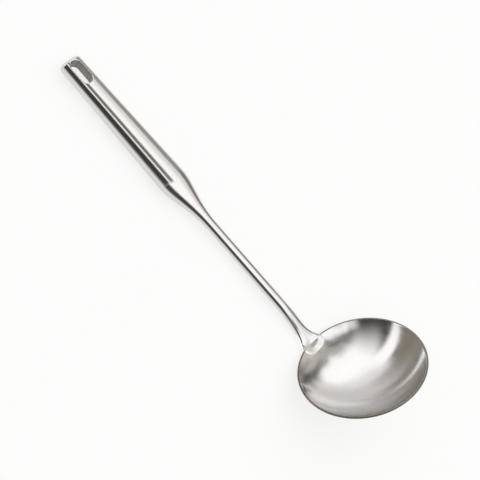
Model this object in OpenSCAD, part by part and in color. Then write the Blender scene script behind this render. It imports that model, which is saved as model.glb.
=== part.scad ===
// One-piece steel ladle, lying as it comes to rest on a level table.
// A round shallow bowl runs into a flared neck, a slim shank and a thick grip
// that ends in a slotted hanging hole.  All of it is one solid.
// Millimetres, Z up, table at Z = 0.  X runs along the handle, the bowl at -X.
//
// Two working frames are used below.
// Bowl frame: origin at the centre of the rim, Z out of the bowl's mouth,
// X towards the handle.
// Axis frame: X is the distance s along the handle's straight axis, measured
// from the point where that axis meets the plane of the rim, and Z is the
// height u above the axis.

/* [Bowl] */
// outside diameter of the rim
rim_diameter = 100; // [85:1:120]
// slope of the bowl's wall at the rim, in degrees to the plane of the rim
wall_slope = 46; // [42:0.5:48]
// thickness of the bowl's sheet, and of its rounded rim
sheet = 1.8; // [1.4:0.1:2.4]

/* [Neck] */
// full width of the neck where it spreads onto the rim
neck_width = 21.4; // [17:0.2:25]
// thickness of the neck at the rim
neck_thickness = 3.6; // [2.6:0.1:4.6]
// distance along the axis from the rim's plane to where the shank is straight
neck_length = 46; // [38:1:54]
// how far the neck hangs below the handle's axis
neck_drop = 4.4; // [3.8:0.1:5]
// how suddenly the neck spreads near the rim
neck_flare = 5.5; // [3:0.5:7]
// length of the rounded tongue that runs on inside the rim
tongue_length = 8; // [6:0.5:10]

/* [Shank] */
// angle between the handle's axis and the plane of the rim
handle_rise = 50; // [46:0.5:54]
// distance from the rim's outer edge in to the handle's axis
axis_inset = 5.5; // [5:0.1:6]
// full width of the shank
shank_width = 9; // [8:0.1:11]
// full thickness of the shank
shank_thickness = 7.2; // [6:0.1:8.5]

/* [Grip] */
// length of the handle's axis from the plane of the rim to the grip's end
handle_length = 296; // [250:0.5:330]
// full width of the grip where it is widest
grip_width = 24.4; // [20:0.2:28]
// full thickness of the grip where it is thickest
grip_thickness = 15; // [12:0.5:18]
// full width of the grip at its end
end_width = 19; // [16:0.5:22]
// full thickness of the grip at its end
end_thickness = 12; // [9:0.5:14]
// distance from the grip's end to where the shoulder is fully wide
grip_length = 122.5; // [100:1:140]
// length of the shoulder between shank and grip
shoulder_length = 52; // [30:1:60]
// how far the shoulder's curve leans towards the grip
shoulder_lean = 1.35; // [1:0.05:1.6]
// rounding of the edge round the grip's end
end_round = 2.4; // [1:0.1:3]
// how far the middle of the end face stands out
end_crown = 0.5; // [0.2:0.1:1.5]

/* [Hanging slot] */
// full length of the slot
slot_length = 21.2; // [16:0.2:26]
// width of the slot
slot_width = 9.4; // [6:0.2:11]
// metal left between the slot and the grip's end
slot_margin = 3.4; // [3.2:0.1:8]

/* [Hidden] */
$fn = 96;
// radii of the bowl's mid surface, inner face and outer face
round_r = sheet / 2;
mid_rim_r = rim_diameter / 2 - round_r;
mid_r = mid_rim_r / sin(wall_slope);
inner_r = mid_r - sheet / 2;
outer_r = mid_r + sheet / 2;
// height of the bowl's sphere centre above the plane of the rim
ball_z = mid_r * cos(wall_slope);
// where the handle's axis meets the plane of the rim, in the bowl frame
axis_x = rim_diameter / 2 - axis_inset;
// the sphere's centre and the mid line of the rim, in the axis frame
ball_s = -axis_x * cos(handle_rise) + ball_z * sin(handle_rise);
ball_u = axis_x * sin(handle_rise) + ball_z * cos(handle_rise);
rim_s = (mid_rim_r - axis_x) * cos(handle_rise);
rim_u = -(mid_rim_r - axis_x) * sin(handle_rise);
// where the neck's loft starts, buried in the bowl's wall
start_s = rim_s - tongue_length;

// smooth step from 0 to 1
function ease(t) = let (c = min(max(t, 0), 1)) c * c * (3 - 2 * c);
// share of the neck's change left at s, 1 at the rim and 0 at the shank
function neck_left(s) = min(max((neck_length - s) / (neck_length - rim_s), 0), 1);
// share of the shoulder passed at s
function shoulder(s) =
    let (t = (s - (handle_length - grip_length - shoulder_length)) / shoulder_length)
    ease(pow(min(max(t, 0), 1), shoulder_lean));
// size of the grip along its taper
function taper(s, big, small) =
    let (t = (s - (handle_length - grip_length)) / grip_length)
    big + (small - big) * max(t, 0);
// inset of the grip's rounded end edge at s
function end_inset(s) =
    let (d = max(s - (handle_length - end_crown - end_round), 0))
    end_round - sqrt(max(end_round * end_round - d * d, 0));
// share of the tongue's length passed at s, 0 at the rim and 1 at its buried end
function tongue(s) = min(max((rim_s - s) / tongue_length, 0), 1);

// height of a sphere of radius r round the bowl's centre, on its low side, at s
function ball(r, s) = ball_u - sqrt(r * r - (s - ball_s) * (s - ball_s));
// how much the bowl's curve lifts the neck's edges at y
function sag(s, y) = y * y / (2 * mid_r) * pow(neck_left(s), 3);

// half width of the handle at s
function half_width(s) =
    s < rim_s
    ? neck_width / 2 * sqrt(1 - pow(tongue(s) / 1.1, 2.4))
    : shank_width / 2
      + (neck_width - shank_width) / 2 * pow(neck_left(s), neck_flare)
      + (taper(s, grip_width, end_width) - shank_width) / 2 * shoulder(s)
      - end_inset(s);
// half thickness of the handle at s
function half_thickness(s) =
    s < rim_s
    ? let (v = tongue(s)) neck_thickness / 2 * (1 - v * v) + (sheet / 2 - 0.4) * v * v
    : neck_thickness / 2
      + (shank_thickness - neck_thickness) / 2 * ease(pow(1 - neck_left(s), 0.8))
      + (taper(s, grip_thickness, end_thickness) - shank_thickness) / 2 * shoulder(s)
      - end_inset(s);
// height of the section's middle at s: in the bowl's wall, along the wall's own
// slope at first, then up to the handle's axis
function level(s) =
    s < rim_s
    ? ball(mid_r, s)
    : let (low = 2 * tongue_length / 3,
           near = ease((s - rim_s) / (low - rim_s + 3)),
           far = ease(pow(min(max((s - low) / (neck_length - low), 0), 1), 0.9)))
      rim_u - (neck_drop + rim_u) * near + neck_drop * far;
// fullness of the section, 2 is an ellipse and more is squarer
function fullness(s) = 2.2 + 0.4 * shoulder(s) + 1.2 * pow(neck_left(s), 2);

// stations along the handle, close where the shape changes fast
grip_start = handle_length - grip_length;
shoulder_start = grip_start - shoulder_length;
edge_start = handle_length - end_crown - end_round;
stations = concat(
    [for (k = [0 : 11]) start_s + (rim_s - start_s) * k / 12],
    [for (k = [0 : 23]) rim_s + (neck_length - rim_s) * k / 24],
    [for (k = [0 : 4]) neck_length + (shoulder_start - neck_length) * k / 5],
    [for (k = [0 : 19]) shoulder_start + shoulder_length * k / 20],
    [for (k = [0 : 7]) grip_start + (edge_start - grip_start) * k / 8],
    [for (k = [0 : 5]) edge_start + end_round * sin(90 * k / 6)]);
section_points = 36;

// point k of the section at s
function sign_pow(v, p) = sign(v) * pow(abs(v), p);
function section_point(s, k) =
    let (q = 360 * k / section_points, p = 2 / fullness(s),
         y = half_width(s) * sign_pow(cos(q), p),
         u = level(s) + half_thickness(s) * sign_pow(sin(q), p))
    [s, y, u + sag(s, y)];
// ring k of the crowned end face
function crown_point(j, k) =
    let (s = handle_length - end_crown, z = 1 - j / 3,
         p = section_point(s - 0.0001, k))
    [s + end_crown * (1 - z * z), p[1] * z, p[2] * z];

// the loft through all the sections, closed at both ends
module handle() {
    n = section_points;
    last = len(stations) + 2;
    rings = concat(
        [for (s = stations) for (k = [0 : n - 1]) section_point(s, k)],
        [for (j = [0 : 2]) for (k = [0 : n - 1]) crown_point(j, k)],
        [[handle_length, 0, 0]]);
    faces = concat(
        [[for (k = [0 : n - 1]) k]],
        [for (j = [0 : last - 1]) for (k = [0 : n - 1])
            [j * n + k, (j + 1) * n + k, (j + 1) * n + (k + 1) % n]],
        [for (j = [0 : last - 1]) for (k = [0 : n - 1])
            [j * n + k, (j + 1) * n + (k + 1) % n, j * n + (k + 1) % n]],
        [for (k = [0 : n - 1]) [last * n + k, (last + 1) * n, last * n + (k + 1) % n]]);
    polyhedron(rings, faces, convexity = 6);
}

// the slot through the grip's end, drawn along u
module hanging_slot() {
    far = handle_length - slot_margin - slot_width / 2;
    near = handle_length - slot_margin - slot_length + slot_width / 2;
    for (s = [near, far])
        translate([s, 0, 0]) cylinder(d = slot_width, h = 2 * grip_thickness, center = true);
    translate([(near + far) / 2, 0, 0])
        cube([far - near, slot_width, 2 * grip_thickness], center = true);
}

// the spun bowl in its own frame: a spherical shell cut square at the rim,
// and the rim's rounded edge
module bowl() {
    cut = 2 * ball_z;
    translate([0, 0, ball_z]) intersection() {
        difference() {
            sphere(r = outer_r);
            sphere(r = inner_r);
        }
        translate([0, 0, -cut])
            cylinder(h = cut, r1 = cut * tan(wall_slope), r2 = 0);
    }
    rotate_extrude() translate([mid_rim_r, 0]) circle(r = round_r);
}

// the ladle in its axis frame
module ladle_along_axis() {
    difference() {
        union() {
            rotate([0, handle_rise, 0]) translate([-axis_x, 0, 0]) bowl();
            handle();
        }
        hanging_slot();
    }
}

// The ladle lies on the underside of its neck and the underside of its grip.
// The turn about Y brings both to one level, and the shifts put the table at
// Z = 0 and the middle of the length at X = 0.
function underside(s) = level(s) - half_thickness(s);
function height_at(s, turn) = underside(s) * cos(turn) - s * sin(turn);
low_neck = [for (s = stations) if (s >= rim_s && s < neck_length) s];
low_grip = [for (s = stations) if (s > handle_length / 2) s];
// lowest point of a stretch at a turn, and the turn found by repeated correction
function lowest(list, turn) = min([for (s = list) height_at(s, turn)]);
function settle(turn, n) =
    n == 0 ? turn
    : settle(turn + atan((lowest(low_grip, turn) - lowest(low_neck, turn))
                         / (grip_start - neck_length / 2)), n - 1);
rest_turn = settle(0, 12);
lift = -min(lowest(low_neck, rest_turn), lowest(low_grip, rest_turn));
bowl_turn = handle_rise + rest_turn;
ball_x = ball_s * cos(rest_turn) + ball_u * sin(rest_turn);
rim_x = -axis_x * cos(handle_rise) * cos(rest_turn)
    + axis_x * sin(handle_rise) * sin(rest_turn);
front_x = 90 - bowl_turn < wall_slope
    ? ball_x - outer_r
    : rim_x - mid_rim_r * cos(bowl_turn) - round_r;
back_x = max([for (j = [0 : 2]) for (k = [0 : section_points - 1])
    let (p = crown_point(j, k)) p[0] * cos(rest_turn) + p[2] * sin(rest_turn)]);

// the whole ladle at rest on the table
module ladle() {
    color("lightgray")
        translate([-(front_x + back_x) / 2, 0, lift])
            rotate([0, rest_turn, 0])
                ladle_along_axis();
}

ladle();
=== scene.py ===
"""One-piece steel ladle lying at rest on a white table.

The ladle is a single skin of stainless steel: a spun bowl, a flared neck that runs
into the bowl's wall as a rounded tongue, a slim shank and a thick grip with a slotted
hanging hole.  Sizes are in millimetres in the ladle's own frames and become metres
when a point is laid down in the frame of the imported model.

Bowl frame: origin at the centre of the rim, z out of the mouth, x to the handle.
Axis frame: s runs along the handle's axis from where that axis meets the plane of the
rim, y is sideways and u is the height above the axis.
"""

import logging
import math
from dataclasses import dataclass, field
from enum import Enum
from functools import cached_property, partial

import bpy
import numpy as np
from mathutils import Matrix, Vector


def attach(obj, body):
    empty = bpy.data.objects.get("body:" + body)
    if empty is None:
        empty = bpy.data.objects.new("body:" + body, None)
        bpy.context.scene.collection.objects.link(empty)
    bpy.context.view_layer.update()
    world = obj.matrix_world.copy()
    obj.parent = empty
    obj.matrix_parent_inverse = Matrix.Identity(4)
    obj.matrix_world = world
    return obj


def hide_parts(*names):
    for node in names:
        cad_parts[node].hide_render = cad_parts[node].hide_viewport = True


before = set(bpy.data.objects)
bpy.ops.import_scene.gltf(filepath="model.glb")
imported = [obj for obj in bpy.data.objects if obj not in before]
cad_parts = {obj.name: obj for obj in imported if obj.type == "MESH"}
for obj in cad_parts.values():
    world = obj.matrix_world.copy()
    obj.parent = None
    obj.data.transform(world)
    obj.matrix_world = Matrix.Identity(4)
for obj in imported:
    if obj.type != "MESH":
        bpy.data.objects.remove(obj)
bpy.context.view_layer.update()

LOG = logging.getLogger("ladle")
MM = 0.001
CM = 0.01
NEAR_HANDLE = 0.9  # cosine of the azimuth within which the tongue lies in the bowl

Array = np.ndarray
Pair = tuple[float, float]
Triple = tuple[float, float, float]
Material = bpy.types.Material
Node = bpy.types.Node
Socket = bpy.types.NodeSocket
Input = float | tuple | Socket


class Region(Enum):
    """Parts of the skin that take a material of their own, by material place; the slot's
    wall and the rim are steel painted dark as shade.
    """

    BODY = 0
    SLOT_WALL = 1
    RIM = 2


def passed(s: Array, start: float, stop: float) -> Array:
    """Share of the way from start to stop that is passed at s, from 0 to 1."""
    return np.clip((s - start) / (stop - start), 0.0, 1.0)


def ease(share: Array) -> Array:
    """Smooth step over shares from 0 to 1, level at both ends."""
    held = np.clip(share, 0.0, 1.0)
    return held * held * (3.0 - 2.0 * held)


def filled_max(first: Array, second: Array, fill: float) -> Array:
    """Larger of two heights, rounded where they differ by less than the fill."""
    near = np.maximum(fill - np.abs(first - second), 0.0) / fill
    return np.maximum(first, second) + near * near * fill / 4.0


def sign_power(values: Array, power: float | Array) -> Array:
    """Power of the size of each value, with the value's own sign."""
    return np.sign(values) * np.abs(values) ** power


def quads(numbers: Array) -> Array:
    """Corners of the quads between the rows and columns of a grid of point numbers."""
    return np.stack([numbers[:-1, :-1], numbers[:-1, 1:], numbers[1:, 1:],
                     numbers[1:, :-1]], -1).reshape(-1, 4)


def joined(*places: Array | float) -> Array:
    """Grid of points from their places along each axis."""
    return np.stack(np.broadcast_arrays(*places), -1)


def closed(grid: Array) -> Array:
    """Grid of point numbers whose first column is also its last."""
    return np.column_stack([grid, grid[:, 0]])


def pitch(points: Array, degrees: float) -> Array:
    """Turns points about the sideways axis, with z towards x.

    Args:
        points: Array of (x, y, z).
        degrees: Angle of the turn.

    Returns:
        Array of the same shape.
    """
    turn = math.radians(degrees)
    x, y, z = np.moveaxis(points, -1, 0)
    return joined(x * math.cos(turn) + z * math.sin(turn), y,
                  z * math.cos(turn) - x * math.sin(turn))


def between(first: float, last: float, rows: int) -> Array:
    """Column of even steps between two ends, without the ends themselves."""
    return np.linspace(first, last, rows + 1)[1:-1, None]


def make_mesh(name: str, points: Array, faces: list) -> bpy.types.Mesh:
    """Makes a mesh.

    Args:
        name: Name of the mesh.
        points: Grid or list of its points.
        faces: Point numbers of each face.

    Returns:
        The mesh.
    """
    mesh = bpy.data.meshes.new(name)
    mesh.from_pydata(points.reshape(-1, 3).tolist(), [], faces)
    return mesh


def put(data: bpy.types.ID) -> bpy.types.Object:
    """Puts a new object in the scene, under the name of its data.

    Args:
        data: What the object is made of.

    Returns:
        The object.
    """
    thing = bpy.data.objects.new(data.name, data)
    bpy.context.scene.collection.objects.link(thing)
    return thing


@dataclass(frozen=True)
class RestPose:
    """Where the axis frame lies once the ladle has settled on the table.

    Attributes:
        turn: Turn about the sideways axis, in degrees.
        shift: Distance along the axis to the middle of the length.
        lift: Height of the axis frame's origin over the table.
    """

    turn: float = -0.4316
    shift: float = 117.0098
    lift: float = 6.19285

    def lay(self, points: Array) -> Array:
        """Turns (s, y, u) points, in millimetres, into the model's frame, in metres."""
        return (pitch(points, self.turn) + (-self.shift, 0.0, self.lift)) * MM

    def direction(self, way: Array) -> Triple:
        """Unit vector of an axis-frame direction in the model's frame."""
        return tuple(Vector(pitch(way, self.turn)).normalized())


class Skin:
    """One closed mesh, gathered patch by patch from grids of points."""

    def __init__(self) -> None:
        """Starts with no points and no faces."""
        self._points: list[Array] = []
        self._faces: list[tuple[Array, int]] = []
        self._count = 0

    def add(self, points: Array) -> Array:
        """Adds a grid of points.

        Args:
            points: Array whose last axis is (s, y, u).

        Returns:
            The points' numbers, in the grid's own shape.
        """
        flat = points.reshape(-1, 3)
        numbers = np.arange(self._count, self._count + len(flat))
        self._points.append(flat)
        self._count += len(flat)
        return numbers.reshape(points.shape[:-1])

    def span(self, numbers: Array, region: Region = Region.BODY,
             turned: bool = False) -> None:
        """Lays quads on a grid of point numbers, facing the other way if turned."""
        corners = quads(numbers)
        self._faces.append((corners[:, ::-1] if turned else corners, region.value))

    def fan(self, ring: Array, hub: int, turned: bool = False) -> None:
        """Closes a ring with triangles to one middle point.

        Args:
            ring: Numbers of the ring's points, in order.
            hub: Number of the middle point.
            turned: Whether the triangles face the other way.
        """
        after = np.roll(ring, -1)
        hubs = np.full_like(ring, hub)
        corners = [ring, hubs, after] if turned else [ring, after, hubs]
        self._faces.append((np.stack(corners, -1), Region.BODY.value))

    def mesh(self, name: str, pose: RestPose) -> bpy.types.Mesh:
        """Makes the Blender mesh of every point that a face uses.

        Args:
            name: Name of the mesh.
            pose: Where the ladle lies.

        Returns:
            The mesh, smooth shaded, with a material place for each region.
        """
        points = pose.lay(np.concatenate(self._points))
        used = np.unique(np.concatenate([faces.ravel() for faces, _ in self._faces]))
        renumber = np.zeros(self._count, int)
        renumber[used] = np.arange(len(used))
        faces = [row for grid, _ in self._faces for row in renumber[grid].tolist()]
        places = np.concatenate([np.full(len(grid), region)
                                 for grid, region in self._faces])
        mesh = make_mesh(name, points[used], faces)
        mesh.polygons.foreach_set("material_index", places.astype(np.int32))
        mesh.polygons.foreach_set("use_smooth", np.ones(len(faces), bool))
        mesh.update()
        return mesh


@dataclass
class Handle:
    """Neck, shank and grip: one loft of superellipse sections along the axis.

    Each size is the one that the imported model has.  At a distance s along the axis
    the section has a half width, a half thickness, a level of its middle and a
    fullness, which is the superellipse's exponent.
    """

    rim_s: float
    rim_u: float
    ball_s: float
    ball_u: float
    ball_radius: float
    sheet: float
    neck_width: float = 21.4
    neck_thickness: float = 3.6
    neck_length: float = 46.0
    neck_drop: float = 4.4
    neck_flare: float = 5.5
    neck_swell: float = 0.8
    neck_rise: float = 0.9
    neck_fall_run: float = 3.0
    tongue_length: float = 8.0
    tongue_reach: float = 1.1
    tongue_power: float = 2.4
    tongue_cover: float = 0.4
    shank_width: float = 9.0
    shank_thickness: float = 7.2
    length: float = 296.0
    grip_width: float = 24.4
    grip_thickness: float = 15.0
    end_width: float = 19.0
    end_thickness: float = 12.0
    grip_length: float = 122.5
    shoulder_length: float = 52.0
    shoulder_lean: float = 1.35
    end_round: float = 2.4
    end_crown: float = 0.5
    shank_fullness: float = 2.2
    grip_fuller: float = 0.4
    neck_fuller: float = 1.2
    dish_middle: float = 0.2
    dish_length: float = 9.5
    dish_depth: float = 1.2
    dish_width: float = 24.0
    neck_rings: int = 38
    shank_rings: int = 20
    shoulder_rings: int = 42
    grip_rings: int = 26
    slot_rings: int = 30
    end_rings: int = 9
    crown_rings: int = 6
    first_ring: float = 1.2

    @property
    def grip_start(self) -> float:
        """Distance at which the grip is fully wide."""
        return self.length - self.grip_length

    @property
    def edge_start(self) -> float:
        """Distance at which the rounded edge of the grip's end starts."""
        return self.length - self.end_crown - self.end_round

    @property
    def neck_low(self) -> float:
        """Distance at which the neck is lowest, before it climbs to the axis."""
        return 2.0 * self.tongue_length / 3.0

    def neck_left(self, s: Array) -> Array:
        """Share of the neck's change that is left at s, 1 at the rim."""
        return passed(s, self.neck_length, self.rim_s)

    def shoulder(self, s: Array) -> Array:
        """Share of the shoulder that is passed at s, eased at both ends."""
        share = passed(s, self.grip_start - self.shoulder_length, self.grip_start)
        return ease(share ** self.shoulder_lean)

    def taper(self, s: Array, big: float, small: float) -> Array:
        """Size that falls evenly along the grip, from big to small."""
        return big + (small - big) * passed(s, self.grip_start, self.length)

    def end_inset(self, s: Array) -> Array:
        """Quarter-circle inset of the rounded edge round the grip's end."""
        run = np.maximum(s - self.edge_start, 0.0)
        return self.end_round - np.sqrt(np.maximum(self.end_round ** 2 - run ** 2, 0.0))

    def tongue(self, s: Array) -> Array:
        """Share of the tongue's length passed at s, going into the bowl."""
        return passed(s, self.rim_s, self.rim_s - self.tongue_length)

    def half_width(self, s: Array) -> Array:
        """Half width: a rounded tongue in the bowl, then flare, shank and shoulder.

        Args:
            s: Distances along the axis.

        Returns:
            Half of the width at each distance.
        """
        narrowed = (self.tongue(s) / self.tongue_reach) ** self.tongue_power
        tongue = self.neck_width / 2 * np.sqrt(1.0 - narrowed)
        flare = self.neck_left(s) ** self.neck_flare
        rod = (self.shank_width / 2 + (self.neck_width - self.shank_width) / 2 * flare
               + (self.taper(s, self.grip_width, self.end_width) - self.shank_width) / 2
               * self.shoulder(s) - self.end_inset(s))
        return np.where(s < self.rim_s, tongue, rod)

    def half_thickness(self, s: Array) -> Array:
        """Half thickness: fades into the bowl's sheet, swells to shank and grip.

        Args:
            s: Distances along the axis.

        Returns:
            Half of the thickness at each distance.
        """
        v = self.tongue(s)
        sunk = self.sheet / 2 - self.tongue_cover
        tongue = self.neck_thickness / 2 * (1.0 - v * v) + sunk * v * v
        rod = (self.neck_thickness / 2
               + (self.shank_thickness - self.neck_thickness) / 2
               * ease((1.0 - self.neck_left(s)) ** self.neck_swell)
               + (self.taper(s, self.grip_thickness, self.end_thickness)
                  - self.shank_thickness) / 2 * self.shoulder(s) - self.end_inset(s))
        return np.where(s < self.rim_s, tongue, rod)

    def level(self, s: Array) -> Array:
        """Height of the section's middle: the bowl's wall, its slope, then the axis.

        Args:
            s: Distances along the axis.

        Returns:
            Heights over the axis.
        """
        under = np.maximum(self.ball_radius ** 2 - (s - self.ball_s) ** 2, 0.0)
        wall = self.ball_u - np.sqrt(under)
        far = ease(passed(s, self.neck_low, self.neck_length) ** self.neck_rise)
        rod = (self.rim_u - (self.neck_drop + self.rim_u) * self.neck_fall(s)
               + self.neck_drop * far)
        return np.where(s < self.rim_s, wall, rod)

    def neck_fall(self, s: Array) -> Array:
        """Share of the neck's fall from the rim to below the axis."""
        return ease((s - self.rim_s) / (self.neck_low - self.rim_s + self.neck_fall_run))

    def dish(self, s: Array, y: Array) -> Array:
        """Depth of the thumb-shaped dish in the top of the tongue.

        Along the axis it eases in over a length that is less towards the sides, so
        that it starts as an oval, and out again where the neck itself falls.

        Args:
            s: Distances along the axis.
            y: Sideways places.

        Returns:
            Depths below the face without a dish.
        """
        open_share = np.maximum(1.0 - (y / (self.dish_width / 2)) ** 2, 0.0)
        length = self.dish_length * np.sqrt(np.maximum(open_share, 0.1))
        along = ease((s - self.dish_middle) / length + 0.5) - self.neck_fall(s)
        return self.dish_depth * open_share ** 1.5 * along

    def fullness(self, s: Array) -> Array:
        """Superellipse exponent, 2 for an ellipse and more for a squarer section."""
        return (self.shank_fullness + self.grip_fuller * self.shoulder(s)
                + self.neck_fuller * self.neck_left(s) ** 2)

    def point(self, s: Array, q: Array) -> Array:
        """Point of the loft at distance s and section angle q.

        It is a superellipse about the level, lifted at its sides by the bowl's curve.

        Args:
            s: Distances along the axis.
            q: Section angles in radians, 0 at +y and a quarter turn at the top.

        Returns:
            Array of (s, y, u).
        """
        s, q = np.broadcast_arrays(s, q)
        power = 2.0 / self.fullness(s)
        y = self.half_width(s) * sign_power(np.cos(q), power)
        lift = y * y / (2.0 * self.ball_radius) * self.neck_left(s) ** 3
        u = self.level(s) + self.half_thickness(s) * sign_power(np.sin(q), power) + lift
        u = u - self.dish(s, y) * ease(2.5 * np.sin(q))
        return joined(s, y, u)

    def face_height(self, s: Array, y: Array) -> Array:
        """Height of the section's upper half over its middle.

        Args:
            s: Distances along the axis.
            y: Sideways places.

        Returns:
            Heights over the section's middle.
        """
        n = self.fullness(s)
        out = np.clip(np.abs(y) / self.half_width(s), 0.0, 1.0)
        return self.half_thickness(s) * (1.0 - out ** n) ** (1.0 / n)

    def stations(self, slot_start: float, slot_stop: float) -> Array:
        """Distances of the rings, close where the shape changes fast.

        Args:
            slot_start: First ring of the block that holds the slot.
            slot_stop: Last ring of that block.

        Returns:
            Rising distances from just outside the rim to the grip's rounded edge.
        """
        first, grip, edge = self.rim_s + self.first_ring, self.grip_start, self.edge_start
        shoulder = grip - self.shoulder_length
        bend = np.arcsin((slot_stop - edge) / self.end_round)
        angles = np.linspace(bend, math.pi / 2, self.end_rings + 1)[1:]
        spread = np.linspace(0.0, 1.0, self.neck_rings, endpoint=False) ** 1.2
        even = ((self.neck_length, shoulder, self.shank_rings),
                (shoulder, grip, self.shoulder_rings), (grip, slot_start, self.grip_rings))
        return np.concatenate([
            first + (self.neck_length - first) * spread,
            *(np.linspace(*span, endpoint=False) for span in even),
            np.linspace(slot_start, slot_stop, self.slot_rings + 1),
            edge + self.end_round * np.sin(angles)])


@dataclass
class Bowl:
    """Spun bowl: a spherical shell whose wall thickens where the tongue runs in."""

    rim_diameter: float = 100.0
    wall_slope: float = 46.0
    sheet: float = 1.8
    handle_rise: float = 50.0
    axis_inset: float = 5.5
    fillet: float = 0.5
    seam_columns: int = 48
    side_columns: int = 96
    roll_rows: int = 10
    first_step: float = 0.25
    step_growth: float = 1.07
    last_step: float = 2.4
    pole_gap: float = 0.8
    close_band: float = 11.0
    wide_rows: int = 27
    close_rows: int = 25

    @property
    def rim_radius(self) -> float:
        """Radius of the rim's middle line."""
        return self.rim_diameter / 2 - self.sheet / 2

    @property
    def ball_radius(self) -> float:
        """Radius of the sphere through the middle of the sheet."""
        return self.rim_radius / math.sin(math.radians(self.wall_slope))

    @property
    def ball_height(self) -> float:
        """Height of the sphere's centre over the plane of the rim."""
        return self.ball_radius * math.cos(math.radians(self.wall_slope))

    @property
    def axis_x(self) -> float:
        """Where the handle's axis meets the plane of the rim."""
        return self.rim_diameter / 2 - self.axis_inset

    def to_axis(self, points: Array) -> Array:
        """Turns bowl-frame points into the axis frame by the handle's rise."""
        return pitch(points - (self.axis_x, 0.0, 0.0), self.handle_rise)

    def handle(self) -> Handle:
        """Makes the handle that meets this bowl's rim.

        Returns:
            The handle.
        """
        centre = self.to_axis(np.array([0.0, 0.0, self.ball_height]))
        rim = self.to_axis(np.array([self.rim_radius, 0.0, 0.0]))
        return Handle(rim_s=float(rim[0]), rim_u=float(rim[2]), ball_s=float(centre[0]),
                      ball_u=float(centre[2]), ball_radius=self.ball_radius,
                      sheet=self.sheet)

    def wall(self, slope: Array, azimuth: Array, depth: Array,
             out: Array | float = 0.0) -> Array:
        """Point of the shell in the axis frame.

        Args:
            slope: Angles from the bowl's pole, in radians.
            azimuth: Angles round the bowl from the handle, in radians.
            depth: Distances in from the middle of the sheet, towards the ball's centre.
            out: Distances along the wall, away from the pole.

        Returns:
            Array of (s, y, u).
        """
        radial = (self.ball_radius - depth) * np.sin(slope) + out * np.cos(slope)
        height = (self.ball_height - (self.ball_radius - depth) * np.cos(slope)
                  + out * np.sin(slope))
        return self.to_axis(joined(radial * np.cos(azimuth), radial * np.sin(azimuth),
                                   height))

    def depth(self, slope: Array, azimuth: Array, handle: Handle) -> Array:
        """Half thickness of the wall: the sheet's, or the tongue's where it is more.

        Args:
            slope: Angles from the pole.
            azimuth: Angles round the bowl.
            handle: The handle whose tongue runs in.

        Returns:
            Distances from the middle of the sheet to either face.
        """
        middle = self.wall(slope, azimuth, 0.0)
        s, y = middle[..., 0], middle[..., 1]
        inside = (s > handle.rim_s - handle.tongue_length) & (np.cos(azimuth) > NEAR_HANDLE)
        tongue = np.where(inside, handle.face_height(s, y), 0.0)
        return filled_max(np.full_like(tongue, self.sheet / 2), tongue, self.fillet)

    def azimuths(self, seam: float) -> Array:
        """Columns round the bowl, close together at the edges of the seam.

        Args:
            seam: Half angle of the stretch of rim that the neck takes up.

        Returns:
            Angles from one edge of the seam, across it and on round the bowl.
        """
        t = np.linspace(-1.0, 1.0, self.seam_columns + 1)
        across = seam * (t + np.sin(t * math.pi / 2)) / 2
        growth = self.step_growth ** np.arange(self.side_columns)
        steps = np.minimum(self.first_step * growth, self.last_step)
        side = seam + (math.pi - seam) * np.cumsum(steps) / steps.sum()
        return np.concatenate([across, side, 2 * math.pi - side[-2::-1]])

    def slopes(self) -> Array:
        """Rows from near the pole to the rim, close together near the rim."""
        close = self.wall_slope - self.close_band
        return np.radians(np.concatenate([
            np.linspace(self.pole_gap, close, self.wide_rows, endpoint=False),
            np.linspace(close, self.wall_slope, self.close_rows)]))


@dataclass
class HangingSlot:
    """Stadium-shaped slot through the grip's end, with rounded edges."""

    length: float = 21.2
    width: float = 9.4
    margin: float = 3.4
    edge_round: float = 0.7
    face_rows: int = 9
    edge_rows: int = 5
    wall_rows: int = 12
    block_before: float = 2.6
    block_after: float = 1.7

    def block(self, handle_length: float) -> Pair:
        """First and last distance of the block of skin that the slot replaces."""
        far = handle_length - self.margin
        return far - self.length - self.block_before, far + self.block_after

    def outline(self, s: Array, y: Array, handle_length: float
                ) -> tuple[Array, Array]:
        """Nearest point of the slot's middle line, and the direction from it.

        Args:
            s: Distances along the axis of the points round the slot.
            y: Their sideways places.
            handle_length: Distance of the grip's end.

        Returns:
            The middle line's distances, and unit directions as (s, y).
        """
        far = handle_length - self.margin - self.width / 2
        middle = np.clip(s, far - self.length + self.width, far)
        way = joined(s - middle, y)
        return middle, way / np.linalg.norm(way, axis=-1, keepdims=True)


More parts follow.
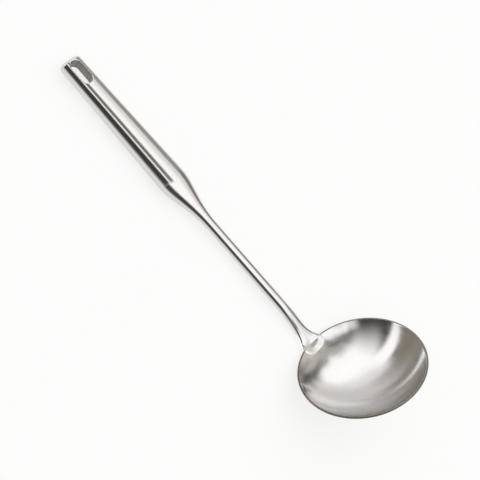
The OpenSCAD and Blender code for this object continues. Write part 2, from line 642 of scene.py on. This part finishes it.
class Graph:
    """Short way to write the nodes of a material or a world."""

    def __init__(self, owner: Material | bpy.types.World) -> None:
        """Starts from the nodes that Blender gives.

        Args:
            owner: The new material or world.
        """
        owner.use_nodes = True
        self.owner = owner
        self.nodes = owner.node_tree.nodes

    def feed(self, node: Node, values: dict[str | int, Input]) -> None:
        """Sets a node's inputs to constants, or links them.

        Args:
            node: The node.
            values: What each input gets, by the input's name or place.
        """
        for key, value in values.items():
            socket = node.inputs[key]
            if isinstance(value, Socket):
                self.owner.node_tree.links.new(value, socket)
            else:
                socket.default_value = value

    def add(self, kind: str, *values: Input, **settings: str) -> Node:
        """Adds a node.

        Args:
            kind: The node's type, without the ShaderNode in front.
            values: What its first inputs get.
            settings: The node's own settings.

        Returns:
            The node.
        """
        node = self.nodes.new("ShaderNode" + kind)
        for name, setting in settings.items():
            setattr(node, name, setting)
        self.feed(node, dict(enumerate(values)))
        return node

    def math(self, operation: str, *values: Input) -> Socket:
        """Adds a Math node and returns its output."""
        return self.add("Math", *values, operation=operation).outputs[0]

    def vector(self, operation: str, *values: Input) -> Socket:
        """Adds a Vector Math node and returns its output."""
        node = self.add("VectorMath", *values, operation=operation)
        return node.outputs["Value" if operation == "DOT_PRODUCT" else "Vector"]

    def noise(self, place: Input, scale: float, detail: float) -> Socket:
        """Adds noise, about a half on average.

        Args:
            place: Where it is taken.
            scale: How fine it is.
            detail: How many finer layers it has.

        Returns:
            The output with the noise.
        """
        node = self.add("TexNoise")
        self.feed(node, {"Vector": place, "Scale": scale, "Detail": detail})
        return node.outputs[0]

    def ramp(self, value: Input, low: float, high: float) -> Socket:
        """Adds an eased step from 0 to 1.

        Args:
            value: What the step depends on.
            low: Value at which it is 0.
            high: Value at which it is 1.

        Returns:
            The output with the step.
        """
        node = self.add("MapRange", interpolation_type="SMOOTHSTEP")
        self.feed(node, {"Value": value, "From Min": low, "From Max": high})
        return node.outputs["Result"]

    def blend(self, share: Input, first: Input, last: Input) -> Socket:
        """Mixes two vectors or colours.

        Args:
            share: Share of the last.
            first: The first.
            last: The last.

        Returns:
            The output with the mix.
        """
        node = self.add("Mix", data_type="VECTOR")
        self.feed(node, {"Factor": share, 4: first, 5: last})
        return node.outputs[1]

    def seen(self, low: float, high: float) -> Socket:
        """Value for rays from the camera, also by way of metal or glass, and for others.

        Args:
            low: Value for all other rays.
            high: Value for rays that show a thing to the camera.

        Returns:
            The output with that value.
        """
        path = self.add("LightPath").outputs
        either = path["Is Camera Ray"]
        for ray in ("Is Glossy Ray", "Is Transmission Ray"):
            either = self.math("MAXIMUM", either, path[ray])
        level = self.add("MapRange")
        self.feed(level, {"Value": either, "To Min": low, "To Max": high})
        return level.outputs["Result"]

    def cover(self, share: Input, under: Node, over: Node) -> None:
        """Shows a share of one shader over another."""
        mix = self.add("MixShader", share, under.outputs[0], over.outputs[0])
        self.feed(self.nodes["Material Output"], {"Surface": mix.outputs[0]})


@dataclass(frozen=True)
class Steel:
    """Bare steel with fine marks.

    Attributes:
        name: What the finish is.
        colour: Colour of the steel.
        roughness: How matt it is.
        mark_depth: Depth of its marks, in metres.
        wear: Darkest and lightest share of its colour.
    """

    name: str
    colour: Triple
    roughness: float
    mark_depth: float
    wear: Pair

    def coat(self, graph: Graph, rough: Input, marks: Input) -> None:
        """Makes a material's surface this steel.

        Args:
            graph: The material's nodes.
            rough: How matt it is from place to place.
            marks: Height of the marks, about a half on average.
        """
        dark, light = (tuple(channel * share for channel in self.colour)
                       for share in self.wear)
        bump = graph.add("Bump")
        graph.feed(bump, {"Strength": 0.5, "Distance": self.mark_depth, "Height": marks})
        graph.feed(graph.nodes["Principled BSDF"], {
            "Base Color": graph.blend(graph.ramp(marks, 0.3, 0.7), dark, light),
            "Roughness": rough, "Metallic": 1.0, "Normal": bump.outputs[0]})


@dataclass(frozen=True)
class SatinSteel(Steel):
    """Satin stainless steel, spun round in the bowl and brushed along the handle.

    Attributes:
        handle_roughness: How matt the handle is.
        anisotropy: How much more it blurs across the marks than along them.
        change: Where along X the spinning gives way to the brushing.
        spun: How fine the spun marks are outwards and round.
        brushed: How fine the brushed marks are along and across.
        slant: How much the depth in the bowl counts with the radius.
        mark_rough: How much the marks change the roughness.
        cloud_rough: How much soft clouds do.
    """

    handle_roughness: float = 0.11
    anisotropy: float = 0.35
    change: Pair = (-0.1135, -0.099)
    spun: Pair = (1000.0, 1.1)
    brushed: Pair = (14.0, 1100.0)
    slant: float = 0.6
    mark_rough: float = 0.16
    cloud_rough: float = 0.05

    def material(self, pose: RestPose, bowl: Bowl) -> Material:
        """Makes the node material.

        Args:
            pose: Where the ladle lies.
            bowl: The bowl whose axis the spinning marks go round.

        Returns:
            The material.
        """
        graph = Graph(bpy.data.materials.new(self.name))
        times, add = partial(graph.math, "MULTIPLY"), partial(graph.math, "ADD")
        place = graph.add("TexCoord").outputs["Object"]
        x, side, z = graph.add("SeparateXYZ", place).outputs
        ball = bowl.to_axis(np.array([0.0, 0.0, bowl.ball_height]))
        centre = tuple(pose.lay(ball).tolist())
        forward, upward = np.array([1.0, 0.0, 0.0]), np.array([0.0, 0.0, 1.0])
        along = pose.direction(forward)
        ahead, axis = (pose.direction(pitch(way, bowl.handle_rise))
                       for way in (forward, upward))

        from_ball = graph.vector("SUBTRACT", place, centre)
        deep = graph.vector("DOT_PRODUCT", from_ball, axis)
        front = graph.vector("DOT_PRODUCT", from_ball, ahead)
        radius = graph.math("SQRT", add(times(front, front), times(side, side)))
        safe = graph.math("MAXIMUM", radius, 0.5 * MM)
        handle = graph.ramp(x, *self.change)

        ring = graph.math("SUBTRACT", radius, times(deep, self.slant))
        outwards, around = self.spun
        lengthwise, crosswise = self.brushed
        spun_place = graph.add(
            "CombineXYZ", times(ring, outwards),
            *(times(graph.math("DIVIDE", part, safe), around) for part in (front, side)))
        brushed_place = graph.add("CombineXYZ", times(x, lengthwise),
                                  times(side, crosswise), times(z, crosswise))
        marks_place = graph.blend(handle, spun_place.outputs[0], brushed_place.outputs[0])
        fine = graph.noise(marks_place, 2.2, 3.0)
        broad = graph.noise(marks_place, 0.55, 2.0)
        clouds = graph.noise(place, 70.0, 3.0)

        marks = add(times(fine, 0.5), times(broad, 0.5))
        rough = graph.math("MULTIPLY_ADD", handle, self.handle_roughness - self.roughness,
                           self.roughness)
        for pattern, share in ((marks, self.mark_rough), (clouds, self.cloud_rough)):
            rough = graph.math("MULTIPLY_ADD", graph.math("SUBTRACT", pattern, 0.5), share,
                               rough)
        self.coat(graph, rough, marks)

        normal = graph.add("NewGeometry").outputs["Normal"]
        tilt = graph.add("VectorMath", normal, operation="SCALE")
        graph.feed(tilt, {"Scale": graph.vector("DOT_PRODUCT", normal, axis)})
        uphill = graph.vector("SUBTRACT", axis, tilt.outputs["Vector"])
        across = graph.vector("CROSS_PRODUCT", along, normal)
        tangent = graph.vector("NORMALIZE", graph.blend(handle, uphill, across))
        graph.feed(graph.nodes["Principled BSDF"],
                   {"Anisotropic": self.anisotropy, "Tangent": tangent})
        return graph.owner


@dataclass(frozen=True)
class PaintedShadeSteel(Steel):
    """Duller steel, painted dark brown as shade, for the slot's cut wall and the rolled
    rim.

    Attributes:
        marks: How fine the marks are along X, Y and Z, per metre.
    """

    marks: Triple

    def material(self) -> Material:
        """Makes the node material of the slot's cut wall or the rim, painted dark as shade.

        Returns:
            The material.
        """
        graph = Graph(bpy.data.materials.new(self.name))
        parts = graph.add("SeparateXYZ", graph.add("TexCoord").outputs["Object"]).outputs
        place = graph.add("CombineXYZ", *(graph.math("MULTIPLY", part, fineness)
                                          for part, fineness in zip(parts, self.marks)))
        marks = graph.noise(place.outputs[0], 1.0, 3.0)
        self.coat(graph, graph.math("MULTIPLY_ADD", marks, 0.2, self.roughness - 0.1),
                  marks)
        return graph.owner


SATIN = SatinSteel(name="satin_steel", colour=(0.705, 0.70, 0.693), roughness=0.15,
                   mark_depth=0.000003, wear=(0.965, 1.025))
# Slot wall: steel painted dark brown as the shade inside the hole, on a duller, marked cut
# face.
SLOT_SHADE_STEEL = PaintedShadeSteel(name="slot_wall_painted_shade", colour=(0.21, 0.194, 0.168), roughness=0.34,
                   mark_depth=0.00006, wear=(0.72, 1.3), marks=(1500.0, 1500.0, 60.0))
# Rolled rim: steel painted dark brown as a dark outline, standing in for the shade below
# the bowl that the roll reflects.
RIM_SHADE_STEEL = PaintedShadeSteel(name="rim_painted_shade", colour=(0.25, 0.225, 0.185), roughness=0.36,
                  mark_depth=0.00006, wear=(0.72, 1.3), marks=(900.0, 900.0, 900.0))


@dataclass
class Ladle:
    """The whole ladle as one closed skin."""

    bowl: Bowl = field(default_factory=Bowl)
    slot: HangingSlot = field(default_factory=HangingSlot)
    pose: RestPose = field(default_factory=RestPose)
    skin: Skin = field(default_factory=Skin)
    seam_reach: float = 10.4
    neck_bow: float = 0.76
    bow_length: float = 3.0
    slot_face: float = 49.0

    @cached_property
    def handle(self) -> Handle:
        """Handle that the bowl carries."""
        return self.bowl.handle()

    def build(self) -> bpy.types.Object:
        """Builds the skin.

        Returns:
            The ladle's object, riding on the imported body.
        """
        self._handle_patches(*self._bowl_patches())
        piece = put(self.skin.mesh("ladle_skin", self.pose))
        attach(piece, "root")
        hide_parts("ladle")
        return piece

    def _bowl_patches(self) -> tuple[Array, Array]:
        """Lays the bowl: inner face, rounded rim and outer face.

        The rim is left open across the seam, where the neck's sections go on.

        Returns:
            Numbers of the points round the opening, from +y over the top, and the
            section angles that belong to them.
        """
        bowl, skin, handle = self.bowl, self.skin, self.handle
        seam = math.asin(self.seam_reach / bowl.rim_radius)
        azimuth = bowl.azimuths(seam)
        slope = bowl.slopes()[:, None]
        depth = bowl.depth(slope, azimuth, handle)
        middle = bowl.wall(slope, azimuth, 0.0)
        dish = handle.dish(middle[..., 0], middle[..., 1]) * (np.cos(azimuth) > NEAR_HANDLE)
        inner = skin.add(bowl.wall(slope, azimuth, depth - dish))
        outer = skin.add(bowl.wall(slope, azimuth, -depth))
        poles = skin.add(bowl.wall(np.zeros(2), np.zeros(2),
                                   np.array([0.5, -0.5]) * bowl.sheet))
        skin.fan(inner[0], int(poles[0]))
        skin.fan(outer[0], int(poles[1]), turned=True)
        inner, outer = closed(inner), closed(outer)
        skin.span(inner, turned=True)
        skin.span(outer)

        across = bowl.seam_columns
        roll = between(0.0, math.pi, bowl.roll_rows)
        around = np.append(azimuth[across:], azimuth[0] + 2 * math.pi)
        edge = np.append(depth[-1, across:], depth[-1, 0])
        rim = skin.add(bowl.wall(slope[-1, 0], around, edge * np.cos(roll),
                                 bowl.sheet / 2 * np.sin(roll)))
        rim = np.vstack([inner[-1, across:], rim, outer[-1, across:]])
        skin.span(rim, Region.RIM, turned=True)

        top, under = inner[-1, :across + 1], outer[-1, :across + 1]
        mouth = np.concatenate([top[::-1], rim[1:-1, -1], under, rim[-2:0:-1, 0]])
        reach = np.sin(azimuth[:across + 1]) * bowl.rim_radius / (handle.neck_width / 2)
        power = handle.fullness(np.array(handle.rim_s)) / 2
        q_top = np.arccos(sign_power(reach[::-1], power))
        steps = between(0.0, 1.0, bowl.roll_rows)[:, 0]
        side = q_top[-1] + (2 * math.pi - 2 * q_top[-1]) * steps
        q_under = 2 * math.pi - q_top[::-1]
        angles = np.concatenate([q_top, side, q_under, side + math.pi])
        return mouth, angles

    def _handle_patches(self, mouth: Array, angles: Array) -> None:
        """Lays neck, shank and grip, with the slot and the crowned end.

        Args:
            mouth: Numbers of the points round the opening in the bowl's rim.
            angles: Section angles of those points.
        """
        skin, handle = self.skin, self.handle
        start, stop = self.slot.block(handle.length)
        stations = handle.stations(start, stop)
        sideways = handle.point(np.array(handle.rim_s), angles)[:, 1]
        reach = sideways / (handle.neck_width / 2)
        fading = np.exp((handle.rim_s - stations[:, None]) / self.bow_length)
        bow = self.neck_bow * fading * reach ** 2
        rings = skin.add(handle.point(stations[:, None] - bow, angles))

        last = handle.point(np.array(handle.length - handle.end_crown), angles)
        share = between(1.0, 0.0, handle.crown_rings)
        crown = skin.add(joined(last[:, 0] + handle.end_crown * (1.0 - share ** 2),
                                last[:, 1] * share, last[:, 2] * share))
        hub = skin.add(np.array([[handle.length, 0.0, 0.0]]))
        grid = closed(np.vstack([mouth, rings, crown]))
        skin.fan(grid[-1, :-1], int(hub[0]))

        first = 1 + int(np.searchsorted(stations, start - 1e-6))
        final = first + handle.slot_rings
        across, roll = self.bowl.seam_columns, self.bowl.roll_rows
        low = int(np.sum(angles[:across // 2] < math.radians(self.slot_face)))
        high = across - low
        low_under, high_under = across + roll + low, across + roll + high
        skin.span(grid[:first + 1])
        skin.span(grid[final:])
        skin.span(grid[first:final + 1, :low + 1])
        skin.span(grid[first:final + 1, high:low_under + 1])
        skin.span(grid[first:final + 1, high_under:])
        block = handle.point(stations[first - 1:final, None], angles[low:high + 1])
        self._slot_patches(grid[first:final + 1, low:high + 1],
                           grid[first:final + 1, high_under:low_under - 1:-1], block)

    def _slot_patches(self, top: Array, under: Array, block: Array) -> None:
        """Lays the faces round the slot, its rounded edges and its wall.

        Rings go from the block's border straight to the slot's middle line, as far as
        the slot, at the height of the grip's own face.  They then turn over a quarter
        circle and run down the wall to the other face.

        Args:
            top: Numbers of the block's points on the upper face.
            under: Numbers of the matching points on the lower face.
            block: The upper block's points as (s, y, u).
        """
        def border(grid: Array) -> Array:
            """Border of a grid, once round."""
            return np.concatenate([grid[0, :-1], grid[:-1, -1], grid[-1, :0:-1],
                                   grid[:0:-1, 0]])

        slot, skin, handle = self.slot, self.skin, self.handle
        edge = border(block)
        middle, way = slot.outline(edge[:, 0], edge[:, 1], handle.length)
        reach = np.hypot(edge[:, 0] - middle, edge[:, 1])
        radius = slot.width / 2
        outer = radius + slot.edge_round
        share = np.linspace(1.0, 0.0, slot.face_rows + 1)[1:, None]
        turn = np.linspace(0.0, math.pi / 2, slot.edge_rows + 1)[1:, None]
        turned_in = np.broadcast_to(outer - slot.edge_round * np.sin(turn),
                                    (slot.edge_rows, len(reach)))
        out = np.vstack([outer + (reach - outer) * share, turned_in])
        drop = np.concatenate([np.zeros(slot.face_rows),
                               slot.edge_round * (1 - np.cos(turn[:, 0]))])[:, None]
        s = middle + out * way[:, 0]
        y = out * way[:, 1]
        height = handle.face_height(s, y) - drop
        above = skin.add(joined(s, y, height))
        below = skin.add(joined(s, y, -height))
        fall = between(1.0, -1.0, slot.wall_rows)
        wall = skin.add(joined(s[-1], y[-1], height[-1] * fall))
        above = np.vstack([border(top), above])
        below = np.vstack([border(under), below])
        wall = np.vstack([above[-1], wall, below[-1]])
        for grid, region, turned in ((above, Region.BODY, False),
                                     (below, Region.BODY, True),
                                     (wall, Region.SLOT_WALL, False)):
            skin.span(closed(grid), region, turned)

    def dress(self, piece: bpy.types.Object) -> None:
        """Gives the skin its materials, one for each region: satin steel, and steel painted
        dark as shade for the slot's wall and the rim.

        Args:
            piece: The ladle's object.
        """
        for material in (SATIN.material(self.pose, self.bowl), SLOT_SHADE_STEEL.material(),
                         RIM_SHADE_STEEL.material()):
            piece.data.materials.append(material)


BROWN = (1.13, 1.02, 0.85)
DUSK = (1.06, 1.0, 0.93)
ROSE = (1.04, 0.995, 0.965)
WHITE = (1.0, 1.0, 1.0)


@dataclass(frozen=True)
class Card:
    """Glowing or dark sheet of the studio that only the steel's reflections show.

    It is drawn by two ranges, in degrees or centimetres, and its edges fade out.

    Attributes:
        name: What the card is.
        first: First range.
        second: Second range, at the start of the first.
        fade: How far the edges fade in: start and end of the first range, then of the
            second.
        strength: Light that the card gives, 1 as a white sheet.
        colour: Colour of that light.
        last: Second range at the end of the first, where it differs.
        rows: Rows and columns of its mesh.
    """

    name: str
    first: Pair
    second: Pair
    fade: tuple[float, float, float, float]
    strength: float
    colour: Triple = WHITE
    last: Pair | None = None
    rows: int = 25

    def ranges(self) -> tuple[Array, Array]:
        """Spreads both ranges over the card.

        Returns:
            A grid of places for each range.
        """
        share = np.linspace(0.0, 1.0, self.rows)
        first = np.interp(share, (0.0, 1.0), self.first)[:, None]
        low, high = (np.interp(share, (0.0, 1.0), ends)[:, None]
                     for ends in zip(self.second, self.last or self.second))
        return np.broadcast_arrays(first, low + (high - low) * share[None, :])

    def points(self, layer: int) -> Array:
        """Points of the card's grid; each kind of card says where it stands."""
        raise NotImplementedError

    def material(self) -> Material:
        """Makes a light that fades out at the card's edges and shows from its front.

        Returns:
            The material.
        """
        graph = Graph(bpy.data.materials.new(self.name))
        graph.nodes.remove(graph.nodes["Principled BSDF"])
        plan = graph.add("SeparateXYZ", graph.add("TexCoord").outputs["UV"]).outputs
        spans = (abs(np.ptp(self.first)),
                 (np.ptp(self.second) + np.ptp(self.last or self.second)) / 2)
        back = graph.add("NewGeometry").outputs["Backfacing"]
        mask = graph.math("SUBTRACT", 1.0, back)
        for number, fade in enumerate(self.fade):
            axis, far = divmod(number, 2)
            width = max(fade, 0.01) / float(spans[axis])
            edge = (1.0, 1.0 - width) if far else (0.0, width)
            mask = graph.math("MULTIPLY", mask, graph.ramp(plan[axis], *edge))
        light = graph.add("Emission", (*self.colour, 1.0), self.strength)
        graph.cover(mask, graph.add("BsdfTransparent"), light)
        return graph.owner

    def hang(self, layer: int) -> bpy.types.Object:
        """Hangs the card in the studio.

        Args:
            layer: Place in the stack.

        Returns:
            The card's object, seen by reflections only.
        """
        corners = quads(np.arange(self.rows * self.rows).reshape(self.rows, self.rows))
        mesh = make_mesh(self.name, self.points(layer), corners.tolist())
        share = np.linspace(0.0, 1.0, self.rows)
        plan = np.stack(np.meshgrid(share, share, indexing="ij"), -1).reshape(-1, 2)
        mesh.uv_layers.new(name="plan").data.foreach_set("uv", plan[corners].ravel())
        mesh.materials.append(self.material())
        card = put(mesh)
        for ray in ("camera", "diffuse", "shadow", "transmission", "volume_scatter"):
            setattr(card, "visible_" + ray, False)
        return card


@dataclass(frozen=True)
class ScreenCard(Card):
    """Card on an upright screen across the handle, facing the bowl.

    The ranges are azimuth from the handle and elevation, in degrees, as the middle of
    the bowl sees them.  The handle sees the screen's back only, which doesn't show.
    """

    eye: Triple = (-0.14, 0.0, 0.03)
    stand: float = 0.06
    step: float = -0.003

    def points(self, layer: int) -> Array:
        """Meets each direction with the screen's plane.

        Args:
            layer: Place in the stack, so that no two cards share a plane.

        Returns:
            Grid of points.
        """
        azimuth, elevation = (np.radians(grid) for grid in self.ranges())
        reach = self.stand + self.step * layer - self.eye[0]
        return joined(self.eye[0] + reach, self.eye[1] + reach * np.tan(azimuth),
                      self.eye[2] + reach / np.cos(azimuth) * np.tan(elevation))


@dataclass(frozen=True)
class TunnelCard(Card):
    """Card on a round tunnel over the handle.

    The first range is the distance along the handle, in centimetres, and the second
    the angle across it, in degrees from overhead to +y.
    """

    radius: float = 1.6
    step: float = -0.01
    height: float = 0.01

    def points(self, layer: int) -> Array:
        """Bends the card round the handle's line.

        Args:
            layer: Place in the stack, so that no two cards share a plane.

        Returns:
            Grid of points.
        """
        along, across = self.ranges()
        radius = self.radius + self.step * layer
        turn = np.radians(across)
        return joined(along * CM, radius * np.sin(turn),
                      self.height + radius * np.cos(turn))


class Plane(Enum):
    """Planes of flat cards: what is along X, Y and Z, 0 for the stand, 1 or 2 a range."""

    ACROSS = (0, 1, 2)
    BESIDE = (1, 0, 2)
    FLOOR = (2, 1, 0)


@dataclass(frozen=True)
class FlatCard(Card):
    """Flat card, with both ranges in centimetres.

    Attributes:
        plane: Plane that it is in.
        stand: Where that plane stands, in metres.
        step: How far each layer moves it.
    """

    plane: Plane = Plane.ACROSS
    stand: float = -0.075
    step: float = -0.0005

    def points(self, layer: int) -> Array:
        """Sets the ranges on the card's plane.

        Args:
            layer: Place in the stack, so that no two cards share a plane.

        Returns:
            Grid of points.
        """
        first, second = self.ranges()
        places = joined(self.stand + self.step * layer, first * CM, second * CM)
        return places[..., list(self.plane.value)]


END_WALL = partial(FlatCard, stand=-3.9, step=0.0)
SIDE_CARD = partial(FlatCard, plane=Plane.BESIDE, stand=-0.3, step=0.0)
FLOOR_CARD = partial(FlatCard, plane=Plane.FLOOR, stand=0.0004, step=0.00001)

# Later cards lie in front.  Tunnel cards are for the handle, and for the bowl where no
# screen card is in front of them.  Cards on the floor paint shade and a glint on the table
# as the handle's underside and the bowl's low edge see them in reflection.
CARDS = (
    TunnelCard("side_wall", (-400, 90), (-99, -44), (5, 5, 26, 8), 0.25, BROWN),
    TunnelCard("side_sheet_long", (10, 90), (-99, -44), (12, 5, 26, 8), 0.38, DUSK),
    TunnelCard("long_sheet", (-400, 90), (-50, -18), (5, 5, 8, 3), 0.92, ROSE),
    TunnelCard("long_tube", (-400, 90), (-38, -19.5), (5, 5, 14, 3), 1.40),
    TunnelCard("overhead_light", (-90, 10), (-22, 14), (5, 9, 4, 14), 1.38),
    TunnelCard("slat", (1, 90), (-20.5, -3), (12, 5, 3.5, 3), 0.17, BROWN),
    TunnelCard("thin_light", (2, 90), (-3.2, 3.6), (12, 5, 3, 3), 1.4),
    TunnelCard("far_flag", (-112, 16), (4, 112), (6, 12, 20, 60), 0.07, BROWN),
    TunnelCard("near_flag", (4, 90), (3, 102), (12, 5, 6, 60), 0.055, BROWN),
    TunnelCard("neck_flag", (-96, -62), (4, 118), (4, 20, 10, 50), 0.20, BROWN, (14, 118)),
    TunnelCard("neck_edge", (-112, -92), (-38, 118), (3, 4, 8, 50), 0.20, BROWN, (4, 118)),
    ScreenCard("screen_cap", (-60, 84), (60, 89), (8, 3, 4, 1), 1.40),
    ScreenCard("screen_dark", (-8, 78), (-10, 88), (14, 3, 1, 9), 0.06, BROWN, (-10, 51)),
    ScreenCard("screen_glow", (38, 88), (46, 64), (10, 3, 12, 2), 1.0, ROSE),
    ScreenCard("screen_grey", (-86, 20), (50, 80), (6, 34, 6, 4), 0.50, DUSK, (50, 79)),
    ScreenCard("screen_band", (-72, 36), (68, 79.5), (8, 12, 5, 2.5), 0.17, DUSK, (58, 72)),
    ScreenCard("screen_fill", (-78, -40), (-7, 20), (8, 14, 5, 8), 0.88, ROSE),
    ScreenCard("screen_softbox", (-72, 54), (6, 58), (12, 68, 14, 15), 1.41, last=(20, 66)),
    ScreenCard("screen_side", (-89, -56), (5, 80), (3, 12, 8, 3), 0.60, DUSK, (56, 80)),
    ScreenCard("screen_corner", (-74, -44), (25, 49), (10, 12, 8, 8), 0.36, DUSK, (47, 68)),
    # Dark cards that the bowl reflects as a dark patch and a dark streak.
    ScreenCard("screen_dark_patch", (-89, -69), (54, 69), (3, 5, 4, 4), 0.20, BROWN),
    ScreenCard("screen_dark_streak", (-89, -58), (-13, 11), (2, 10, 8, 8), 0.12, DUSK, (42, 64)),
    ScreenCard("screen_strip", (-26, 54), (12, 38), (26, 5, 5, 5), 1.45, last=(-14.5, 2)),
    SIDE_CARD("side_sheet", (-19.5, -9), (9, 47), (3, 3, 16, 10), 0.72, DUSK),
    # Low cards stand across the table by the bowl and darken what the bowl's far wall
    # reflects below the horizon.
    FlatCard("low_grey", (-30, 6), (-0.1, 3.8), (17, 2, 0.1, 0.8), 0.77, ROSE),
    FlatCard("low_flag", (-5, 6), (-0.1, 3.8), (4, 2, 0.1, 0.6), 0.24, BROWN),
    END_WALL("end_wall", (520, -520), (-4, 560), (100, 100, 12, 170), 0.18, BROWN),
    FlatCard("low_dark", (-6.5, 6), (-0.1, 1.5), (2.5, 2, 0.05, 0.5), 0.28, BROWN),
    # Painted shade on the table beside the bowl, paler than near_shade, seen only in
    # reflections.
    FLOOR_CARD("side_wash", (-16, -3), (-10.5, -8.4), (5, 3, 0.8, 0.3), 0.50, DUSK),
    FLOOR_CARD("near_shade", (-6.5, 0), (-10.5, -8.4), (3.5, 0.6, 0.8, 0.3), 0.16, BROWN),
    FLOOR_CARD("near_glint", (-7.5, 6), (-11.3, -10.0), (3, 3, 0.3, 0.4), 1.5),
    FLOOR_CARD("end_shade", (-30, 30), (-50, -18.3), (12, 12, 15, 1), 0.30, BROWN),
    FLOOR_CARD("side_shade", (5.2, 14), (-21, -11.5), (0.5, 6, 4, 1.5), 0.30, BROWN),
)


@dataclass
class Studio:
    """White table, soft light from all round, the cards and the camera."""

    eye: Triple = (0.0115445, 0.2938420, 0.5666905)
    right: Triple = (-0.6598935, -0.6467495, 0.3824337)
    down: Triple = (-0.7502540, 0.5947784, -0.2887170)
    lens: float = 60.0
    lamp_way: Triple = (-0.05, -0.15, 0.95)
    lamp_share: float = 0.5
    lamp_spread: float = 100.0
    table_white: tuple[float, float, float, float] = (0.98, 0.98, 0.975, 1.0)
    table_glow: float = 0.72
    table_reach: float = 4.0

    def table(self) -> None:
        """Lays the white table; part of its white is its own, to keep shadows light."""
        square = np.array([(-1, -1, 0), (1, -1, 0), (1, 1, 0), (-1, 1, 0)])
        mesh = make_mesh("table", square * self.table_reach, [(0, 1, 2, 3)])
        graph = Graph(bpy.data.materials.new("white_table"))
        lit = graph.nodes["Principled BSDF"]
        graph.feed(lit, {"Base Color": self.table_white, "Roughness": 0.9})
        graph.cover(graph.seen(0.0, self.table_glow), lit,
                    graph.add("Emission", self.table_white))
        mesh.materials.append(graph.owner)
        table = put(mesh)

    def hang_cards(self) -> None:
        """Hangs every card, the later ones in front."""
        for layer, card in enumerate(CARDS):
            hung = card.hang(layer)
            LOG.info("card %s: %s", hung.name, type(card).__name__)

    def world(self) -> None:
        """Lights the scene evenly from all round."""
        graph = Graph(bpy.data.worlds.new("studio"))
        graph.feed(graph.nodes["Background"], {
            "Color": (1.0, 1.0, 1.0, 1.0),
            "Strength": graph.seen(1.0 - self.lamp_share, 1.0)})
        bpy.context.scene.world = graph.owner

    def lamp(self) -> None:
        """Hangs the soft lamp overhead, which gives the ladle its light shadow."""
        data = bpy.data.lights.new("soft_lamp", "SUN")
        way = Vector(self.lamp_way).normalized()
        data.energy = self.lamp_share * math.pi / way.z
        data.angle = math.radians(self.lamp_spread)
        lamp = put(data)
        lamp.rotation_mode = "QUATERNION"
        lamp.rotation_quaternion = way.to_track_quat("Z", "Y")
        lamp.location = way
        lamp.visible_glossy = False

    def camera(self) -> None:
        """Stands the camera where the photograph was taken from."""
        data = bpy.data.cameras.new("camera")
        data.lens, data.sensor_width = self.lens, 36.0
        data.clip_start = 0.01
        camera = put(data)
        x = Vector(self.right).normalized()
        y = -Vector(self.down)
        y = (y - x * y.dot(x)).normalized()
        turn = Matrix((x, y, x.cross(y))).transposed().to_4x4()
        camera.matrix_world = Matrix.Translation(self.eye) @ turn
        bpy.context.scene.camera = camera


def main() -> None:
    """Builds the ladle and its surroundings."""
    logging.basicConfig(level=logging.INFO, format="%(name)s: %(message)s")
    ladle = Ladle()
    piece = ladle.build()
    ladle.dress(piece)
    LOG.info("%s: %d points, %d faces", piece.name, len(piece.data.vertices),
             len(piece.data.polygons))
    studio = Studio()
    studio.table()
    studio.world()
    studio.lamp()
    studio.hang_cards()
    studio.camera()
    bpy.context.scene.view_settings.view_transform = "Standard"


if __name__ == "__main__":
    main()
